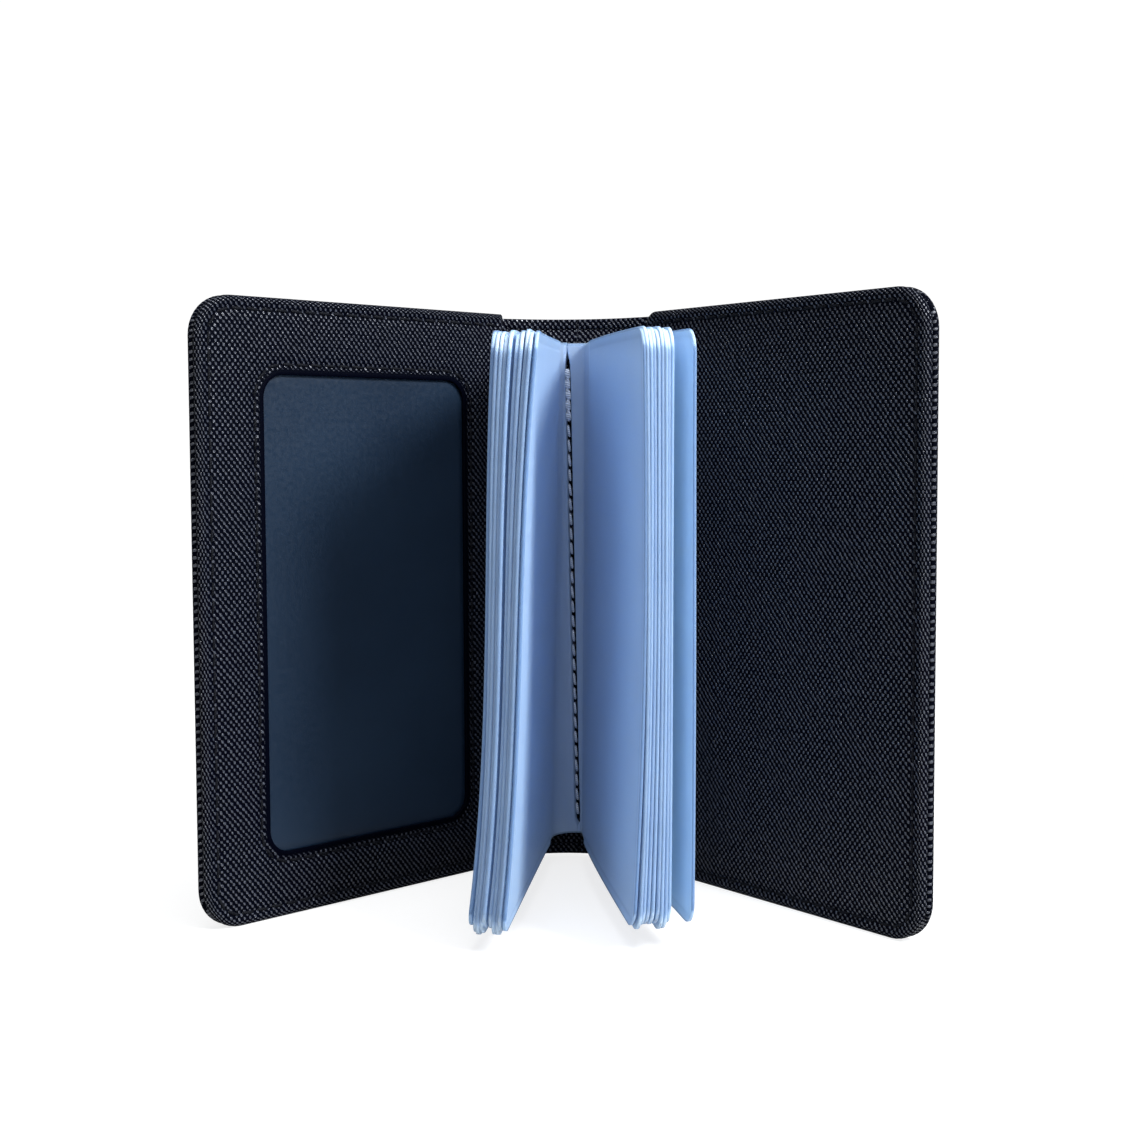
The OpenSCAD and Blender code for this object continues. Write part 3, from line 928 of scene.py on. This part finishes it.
def id_window():
    loop = outline(film_low[0], film_high[0], film_low[2], film_high[2], 1.0, 1.0)
    obj = sheet("id_window_film_sheet", LEFT.at, loop, film_low[1], film_high[1] - 0.02,
                WINDOW_FILM, wave=0.06, seed=2)
    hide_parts("id_window_film")
    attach(obj, "left_cover")


# ---------- card sleeves ----------

# Places where the sewn slit lies across the gutter, at the sleeves' top and bottom
SLIT_TOP, SLIT_BOTTOM = -1.65, 0.1
SLIT_HALF = 0.56

# How the innermost and outermost leaves of a side lie, to the right of their CAD places:
# (at the root, more of it towards the top, at the tip, more of that towards the top, and
# more of it halfway up)
LEAF_SET = {
    -1: ((-2.3, 0.8, 1.7, 1.9, 0.0), (-1.1, 0.5, 1.0, 1.8, 0.9)),
    1: ((0.7, 0.5, -2.0, 0.3, 0.9), (0.0, 0.0, -1.5, 0.2, 0.0)),
}
# How softly the innermost and outermost leaves bend out of their folds: (bottom, top)
LEAF_BEND = {-1: ((4.2, 0.6), (0.9, 0.6)), 1: ((1.1, 0.9), (0.6, 0.6))}
# How far a leaf's tip hangs, how closely a cluster clings, and how thick a pocket's tip grows
LEAF_DROOP = {-1: 1.9, 1: 1.3}
CLING = {-1: 0.1, 1: 0.06}
POCKET_SWELL = {-1: 0.13, 1: 0.0}

# Leaves that cling together, from the innermost to the outermost
CLUSTERS = {-1: ((1, 1), (2, 5), (6, 10)), 1: ((1, 3), (4, 5), (6, 9), (10, 10))}


def slit_at(z, low, high):
    """Where the sewn slit is across the gutter at height z."""
    return SLIT_BOTTOM + (SLIT_TOP - SLIT_BOTTOM) * (z - low) / (high - low)


def sway_reach(side, out):
    """How much of its sway at the tip a leaf has at a share of its length."""
    if side < 0:
        return out ** 2.4
    return (1 - np.exp(-out / 0.35)) / (1 - math.exp(-1 / 0.35))


def in_cluster(side, k):
    """A leaf's place in its cluster, -1 to 1, and half the cluster's count."""
    first, final = next(ends for ends in CLUSTERS[side] if ends[0] <= k <= ends[1])
    half = (final - first) / 2
    return ((k - first) / half - 1 if half else 0.0), half


class Leaf:
    """Half of a folded double sleeve: its half of the fold, then the leaf with its pocket.

    The film bends out of its fold along one path at its bottom and another at its top. Each
    leaf is cut and hangs a little differently."""

    def __init__(self, side, k):
        self.side = side
        self.k = k
        self.node = f"{'left' if side < 0 else 'right'}_sleeve_{k:02d}"
        points = node_points(self.node)
        self.root = np.array(JOINTS[self.node + "_turn"]["pos_m"][:2]) / MM
        reach = np.hypot(*(points[:, :2] - self.root).T)
        tip = points[reach > reach.max() - 1, :2].mean(0) - self.root
        self.angle = math.atan2(side * tip[0], -tip[1])
        self.length = reach.max()
        self.z0 = points[:, 2].min()
        self.z1 = points[:, 2].max()
        self.end = self.length + rng.uniform(-0.3, 0.1)
        self.top = self.z1 + rng.uniform(-0.3, 0.3)
        self.lean = rng.uniform(-0.06, 0.06)
        self.place, self.half = in_cluster(side, k)
        share_out = (k - 1) / (SLEEVES - 1)
        root, root_up, *self.lie = between(LEAF_SET[side], share_out)
        low_bend, high_bend = between(LEAF_BEND[side], share_out)
        root_x = self.root[0] - SPINE_X + root
        self.low_path, self.low_fold = self.path(SLIT_BOTTOM, root_x - root_up, low_bend)
        self.high_path, self.high_fold = self.path(SLIT_TOP, root_x + root_up, high_bend)
        self.mean_fold = (self.low_fold + self.high_fold) / 2

    def path(self, start_x, root_x, bend_r):
        """(path from above, length on the fold), for a leaf that leaves its fold at root_x."""
        fold_r = math.hypot(self.root[0] - SPINE_X, self.root[1] - SPINE_Y)
        begins = math.asin(self.side * start_x / fold_r)
        ends = math.asin(self.side * root_x / fold_r)
        turned = self.angle - math.pi / 2
        fold_length = fold_r * (ends - begins)
        bend = min(bend_r * math.tan((-ends - turned) / 2), fold_length * 0.95)
        along = np.arange(0, fold_length + self.length + 4, Bend.STEP)
        share = np.clip((along - fold_length + bend) / (2 * bend), 0, 1)
        on_fold = -begins - along.clip(0, fold_length) / fold_r
        start = (SPINE_X + start_x, SPINE_Y + fold_r * math.cos(begins))
        return Bend(self.side, start, along, (1 - share) * on_fold + share * turned), fold_length

    def grid(self):
        """Points of the leaf: their share of the fold's length, their length beyond it, and z."""
        on_fold = np.linspace(0, 1, 12, endpoint=False)
        on_leaf = np.concatenate([
            np.linspace(0, MOUTH_AT - 0.6, 14, endpoint=False),
            np.linspace(MOUTH_AT - 0.6, MOUTH_AT + 0.6, 9, endpoint=False),
            np.linspace(MOUTH_AT + 0.6, self.end - SLEEVE_CORNER, 26, endpoint=False),
            self.end - SLEEVE_CORNER + SLEEVE_CORNER * np.sin(np.linspace(0, math.pi / 2, 9)),
        ])
        share_on_fold = np.concatenate([on_fold, np.ones(len(on_leaf))])
        beyond = np.concatenate([np.zeros(len(on_fold)), on_leaf])
        into_corner = np.clip((beyond - self.end) / SLEEVE_CORNER + 1, 0, 1)
        corner = SLEEVE_CORNER * (1 - np.sqrt(1 - into_corner ** 2))
        share = np.concatenate([
            np.linspace(0, 0.025, 6, endpoint=False),
            np.linspace(0.025, 0.975, 60, endpoint=False),
            np.linspace(0.975, 1, 7),
        ])
        low = (self.z0 + corner)[:, None]
        high = (self.top - corner)[:, None]
        z = low + (high - low) * share
        return share_on_fold[:, None] + 0 * z, beyond[:, None] + 0 * z, z

    def up(self, z):
        """Height on the leaf, from -1 at its bottom to 1 at its top."""
        return (2 * z - self.z0 - self.z1) / (self.z1 - self.z0)

    def past_mouth(self, beyond, z):
        """Distance past the pocket's mouth, which runs a little unevenly."""
        return beyond - MOUTH_AT - 0.45 * ripple(z, z * 0, 36, self.k + 3 * self.side)

    def film(self, beyond, z):
        """Levels of the film's inner and outer face, and 1 along the pocket's welds."""
        pocket = smooth(self.past_mouth(beyond, z), -0.1, 0.1)
        near_edge = np.minimum(self.end - beyond, np.minimum(z - self.z0, self.z1 - z))
        weld_away = np.where(pocket > 0.5, near_edge - WELD_W, 9)
        weld = np.exp(-(weld_away / 0.28) ** 2)
        puff = 0.02 * smooth(near_edge - WELD_W, 0, 8) * pocket
        pocket_t = POCKET_T + POCKET_SWELL[self.side] * beyond / self.end
        inner = FILM_T / 2 + pocket * (pocket_t - FILM_T) + puff - 0.07 * weld
        return inner, np.full(z.shape, -FILM_T / 2), weld

    def sway(self, length, out, z):
        """How far to the right the leaf lies, at a share out of its length."""
        up = self.up(z)
        tip, tip_up, tip_middle = self.lie
        twist = 0.3 * up + 0.7 * up ** 3
        lie = (tip + tip_up * twist + tip_middle * (1 - up ** 2)) * sway_reach(self.side, out)
        cling = CLING[self.side] * self.half * self.place * out ** 2 * self.side
        uneven = (self.lean + 0.06 * ripple(length, z, 90, self.k * self.side)) * out
        return lie - cling + uneven

    def drop(self, out, z):
        """How far the leaf hangs, more so in the middle of its cluster and low down."""
        sag = 0.7 * self.half * (1 - self.place ** 2) * (1 - self.up(z)) / 2
        return (LEAF_DROOP[self.side] + sag) * out ** 1.6


def shell_faces(rows, columns):
    """Faces of a closed shell of two grids, one in front of the other."""
    i, j = np.meshgrid(np.arange(rows - 1), np.arange(columns - 1), indexing="ij")
    a = (i * columns + j).ravel()
    quads = np.column_stack([a, a + columns, a + columns + 1, a + 1])
    border = np.concatenate([
        np.arange(columns),
        np.arange(1, rows) * columns + columns - 1,
        (rows - 1) * columns + np.arange(columns - 2, -1, -1),
        np.arange(rows - 2, 0, -1) * columns,
    ])
    step = np.roll(border, -1)
    count = rows * columns
    rim = np.column_stack([border, step, step + count, border + count])
    return np.concatenate([quads, quads[:, ::-1] + count, rim]).tolist()


def leaf_piece(leaf, nodes):
    """One closed shell of film: a single sheet up to the pocket's mouth, and double beyond it."""
    share_on_fold, beyond, z = leaf.grid()
    out = beyond / leaf.end
    slit = SLIT_HALF * smooth(leaf.z1 - z, 0.5, 4.5) * smooth(z - leaf.z0, 1.1, 2.6)

    def along(fold_length):
        """Length along a path from the middle of the slit, for each point of the grid."""
        flat = fold_length * share_on_fold + beyond
        return slit + flat * (1 - slit / (fold_length + leaf.end))

    length = along(leaf.mean_fold)
    sway = leaf.sway(length, out, z).ravel()
    level = (z - leaf.drop(out, z)).ravel()
    share_up = (1 + leaf.up(z)).reshape(-1, 1) / 2

    def face(off):
        """Places of the film's points, off to the inner side of its paths."""
        low = leaf.low_path.at(along(leaf.low_fold).ravel(), off.ravel(), level)
        high = leaf.high_path.at(along(leaf.high_fold).ravel(), off.ravel(), level)
        places = low + (high - low) * share_up
        places[:, 0] += sway
        return places

    inner, outer, weld = leaf.film(beyond, z)
    free = np.minimum(np.minimum(leaf.end - beyond, z - leaf.z0), leaf.top - z)
    # edge: 1 along the free edges, where the film is painted darker, painted shade
    edge = 1 - smooth(free, 0.0, 0.45)
    # Painted light: the inner leaves are painted lighter towards their tips, for light passing
    # through the films between them, and a painted highlight runs along each pocket's mouth
    inside = smooth(beyond, leaf.end - 30, leaf.end) * (0.15 if leaf.k in (1, SLEEVES) else 1.0)
    painted_mouth_highlight = np.exp(-(leaf.past_mouth(beyond, z) / 0.16) ** 2)
    masks = {"edge": edge, "weld": weld, "depth": np.maximum(inside, painted_mouth_highlight)}
    uv = np.column_stack([length.ravel(), z.ravel()])
    obj = build(leaf.node + "_film", np.concatenate([face(inner), face(outer)]),
                shell_faces(*z.shape), SLEEVE_FILM, np.tile(uv, (2, 1)),
                {mask: np.tile(values.ravel(), 2) for mask, values in masks.items()})
    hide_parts(*nodes)
    ends = leaf.high_path.at((leaf.mean_fold * 0.3, leaf.mean_fold + 5), 0, BLEND_Z) * MM
    tuple(ends[0])
    tuple(ends[1])
    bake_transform(obj)


# ---------- sewing ----------

SLEEVE_Z = node_points("left_sleeve_01")[:, 2]
GUTTER_Z = node_points("gutter_stitching")[:, 2]
BACKTACK_POINTS = node_points("gutter_backtack")
GUTTER_FRONT = BACKTACK_POINTS[:, 1].max()
BACKTACK_Z0 = BACKTACK_POINTS[:, 2].min()
BACKTACK_Z1 = BACKTACK_POINTS[:, 2].max()
FIRST_STITCH_Z = GUTTER_Z.min() + STITCH_LEN / 2


def in_gutter(u, t, z):
    """Place in the sewn slit: u to the right of its middle, t towards the viewer."""
    slit = slit_at(z, SLEEVE_Z.min(), SLEEVE_Z.max())
    return np.column_stack([SPINE_X + slit + u, GUTTER_FRONT - t, z])


def upright(x, z):
    """Spots and headings of stitches one above another."""
    return np.column_stack([x + 0 * z, z]), np.tile((0.0, 1.0), (len(z), 1))


def edge_thread(cover):
    """The seam round a cover, on its inner side and on its back."""
    word = cover.name.split("_")[0]
    seam = EDGE_SEAMS[cover.name]
    sewing = Thread()
    sewing.add(cover.at, cover.top - SEAM_CHANNEL, 1, seam.spots, seam.ahead)
    sewing.add(cover.at, SEAM_CHANNEL, -1, seam.spots, seam.ahead)
    obj = sewing.build(word + "_edge_thread", BLACK_THREAD, "black_thread")
    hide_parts(word + "_edge_stitching")
    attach(obj, cover.name)


def window_thread():
    seam = WINDOW_SEAM_LINE
    sewing = Thread()
    sewing.add(LEFT.at, LEFT.top - SEAM_CHANNEL, 1, seam.spots, seam.ahead)
    obj = sewing.build("window_thread", BLACK_THREAD, "black_thread")
    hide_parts("window_stitching")
    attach(obj, "left_cover")


def gutter_thread():
    """The pale stitches that hold the sleeves, below the backtack."""
    spots, ahead = upright(0, np.arange(FIRST_STITCH_Z, BACKTACK_Z0 - 1, GUTTER_PITCH))
    sewing = Thread()
    sewing.add(in_gutter, 0, 1, spots, ahead, length=2.3, width=0.5, lift=0.05)
    obj = sewing.build("gutter_thread", PALE_THREAD, "pale_thread")
    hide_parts("gutter_stitching")
    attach(obj, "spine")


def spine_back_thread():
    """The same seam, seen on the back of the spine."""
    spots, ahead = upright(0, np.arange(FIRST_STITCH_Z, GUTTER_Z.max(), GUTTER_PITCH))
    sewing = Thread()
    sewing.add(spine_at, 0.06, -1, spots, ahead)
    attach(sewing.build("spine_back_thread", BLACK_THREAD, "black_thread"), "spine")


def backtack_thread():
    """Thick stitches at the seam's top, with thinner ones between them."""
    sewing = Thread()
    for start, length, width, lift in ((0.95, 1.95, 1.0, 0.16), (1.95, 1.5, 0.6, 0.06)):
        z = np.arange(BACKTACK_Z0 + start, BACKTACK_Z1 + 1.4, 2.0)
        spots, ahead = upright(rng.normal(0, 0.04, len(z)), z)
        sewing.add(in_gutter, 0, 1, spots, ahead, length=length, width=width, lift=lift)
    obj = sewing.build("gutter_backtack_thread", PALE_THREAD, "pale_thread")
    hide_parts("gutter_backtack")
    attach(obj, "spine")


# ---------- assembly ----------

outer_skin(LEFT)
outer_skin(RIGHT)
inner_panel(LEFT, "left_panel_with_window", "left_inner_panel", window=True)
inner_panel(RIGHT, "right_panel", "right_inner_panel", window=False)
pocket_lining(LEFT, "left_pocket_cloth", "left_pocket_lining")
pocket_lining(RIGHT, "right_pocket_cloth", "right_pocket_lining")
spine_lining()
id_window()

# The leaves have their halves of the folds, and the first one on the right replaces them
for side in (-1, 1):
    for k in range(1, SLEEVES + 1):
        leaf = Leaf(side, k)
        leaf_piece(leaf, [leaf.node, "sleeve_folds"] if (side, k) == (1, 1) else [leaf.node])

edge_thread(LEFT)
edge_thread(RIGHT)
window_thread()
gutter_thread()
spine_back_thread()
backtack_thread()

CARRIED = {
    "left_foam_padding": FOAM, "right_foam_padding": FOAM,
    "left_stiffener_board": FIBRE_BOARD, "right_stiffener_board": FIBRE_BOARD,
    "id_pocket_backing": BACKING_CLOTH,
}
for node, material in CARRIED.items():
    data = frame["nodes"][node].data
    data.materials.clear()
    data.materials.append(material)

# ---------- floor, light and camera ----------

FLOOR_HALF = 6.0
SOFT_WHITE = (0.95, 0.975, 1.0)

# The camera's place, in millimetres from the floor below the middle of the folds
CAMERA_FROM_FOLDS = (34.0, -311.65, 79.1)
CAMERA_DOWN = math.radians(3.83)
CAMERA_TURN = math.radians(-6.70)
CAMERA_ROLL = math.radians(-0.26)


def studio_mix(tree, others, shown):
    """One shader for what the camera sees directly, and a dimmer one for what lights the object."""
    seen = tree.nodes.new("ShaderNodeLightPath")
    mix = tree.nodes.new("ShaderNodeMixShader")
    tree.links.new(seen.outputs["Is Camera Ray"], mix.inputs[0])
    tree.links.new(others.outputs[0], mix.inputs[1])
    tree.links.new(shown.outputs[0], mix.inputs[2])
    return mix.outputs[0]


def paper():
    """Paper that looks white to the camera and lights the object like a light grey one."""
    s = Shader("paper", Specular_IOR_Level=0.2, Emission_Color=(1, 1, 1, 1), Emission_Strength=0.78)
    fibre = s.noise(s.place_coordinates(), 0.8, detail=3.0)
    s.wire("Base Color", s.colours(fibre, (0.3, (0.29, 0.29, 0.29)), (0.7, (0.31, 0.31, 0.31))))
    s.wire("Roughness", s.range(fibre, 0.3, 0.7, 0.8, 0.9))
    dim = s.node("BsdfPrincipled", {"Base Color": (0.42, 0.42, 0.42, 1), "Roughness": 0.85})
    output = s.tree.nodes["Material Output"]
    s.tree.links.new(studio_mix(s.tree, dim, s.shader), output.inputs["Surface"])
    return s.material


def pale_floor():
    mesh = bpy.data.meshes.new("floor")
    corners = [(x * FLOOR_HALF, y * FLOOR_HALF, 0) for x, y in ((-1, -1), (1, -1), (1, 1), (-1, 1))]
    mesh.from_pydata(corners, [], [(0, 1, 2, 3)])
    mesh.materials.append(paper())
    new_object("floor", mesh)


def look_matrix(place, forward, roll=0.0):
    """World matrix of a camera or light at a place in metres, looking forward."""
    forward = forward / np.linalg.norm(forward)
    right = np.cross(forward, (0, 0, 1))
    right /= np.linalg.norm(right)
    up = np.cross(right, forward)
    c, s = math.cos(roll), math.sin(roll)
    right, up = c * right + s * up, c * up - s * right
    matrix = np.eye(4)
    matrix[:3, 0], matrix[:3, 1], matrix[:3, 2], matrix[:3, 3] = right, up, -forward, place
    return Matrix(matrix.tolist())


def soft_light(name, place, size, power):
    """A square soft light at a place in metres, aimed at the middle of the wallet."""
    light = bpy.data.lights.new(name, "AREA")
    light.shape = "SQUARE"
    light.size = size
    light.energy = power
    light.color = SOFT_WHITE
    middle = (np.array(cad_box[0]) + np.array(cad_box[1])) / 2
    new_object(name, light).matrix_world = look_matrix(np.array(place), middle - place)


def high_light(name, azimuth, elevation, strength, spread, colour):
    """A very large, distant soft light, the same all over the floor."""
    light = bpy.data.lights.new(name, "SUN")
    light.energy = strength
    light.angle = math.radians(spread)
    light.color = colour
    a, e = math.radians(azimuth), math.radians(elevation)
    back = np.array((math.sin(a) * math.cos(e), -math.cos(a) * math.cos(e), math.sin(e)))
    new_object(name, light).matrix_world = look_matrix(back, -back)


def studio_world():
    """White behind the object, and a dimmer, cooler light all round it."""
    world = bpy.data.worlds.new("studio")
    world.use_nodes = True
    tree = world.node_tree
    shown = tree.nodes.new("ShaderNodeBackground")
    shown.inputs["Color"].default_value = (1, 1, 1, 1)
    shown.inputs["Strength"].default_value = 1.05
    around = tree.nodes["Background"]
    around.inputs["Color"].default_value = (0.93, 0.96, 1.0, 1)
    around.inputs["Strength"].default_value = 0.275
    tree.links.new(studio_mix(tree, around, shown), tree.nodes["World Output"].inputs["Surface"])
    bpy.context.scene.world = world


def camera():
    data = bpy.data.cameras.new("camera")
    data.sensor_width = 36
    data.lens = 52.78
    data.clip_start = 0.01
    forward = np.array((math.sin(CAMERA_TURN) * math.cos(CAMERA_DOWN),
                        math.cos(CAMERA_TURN) * math.cos(CAMERA_DOWN),
                        -math.sin(CAMERA_DOWN)))
    place = np.array((SPINE_X, FOLDS["left_cover"][1], 0)) + CAMERA_FROM_FOLDS
    obj = new_object("camera", data)
    obj.matrix_world = look_matrix(place * MM, forward, CAMERA_ROLL)
    bpy.context.scene.camera = obj


pale_floor()
high_light("sky_panel", 25, 77, 1.9, 36, (0.98, 0.99, 1.0))
soft_light("key", (0.52, -0.34, 0.52), 0.24, 9.5)
soft_light("front_fill", (0.06, -0.62, 0.36), 0.4, 0.8)
soft_light("left_fill", (-0.52, -0.5, 0.36), 0.4, 0.15)
studio_world()
camera()
bpy.context.scene.view_settings.view_transform = "Standard"
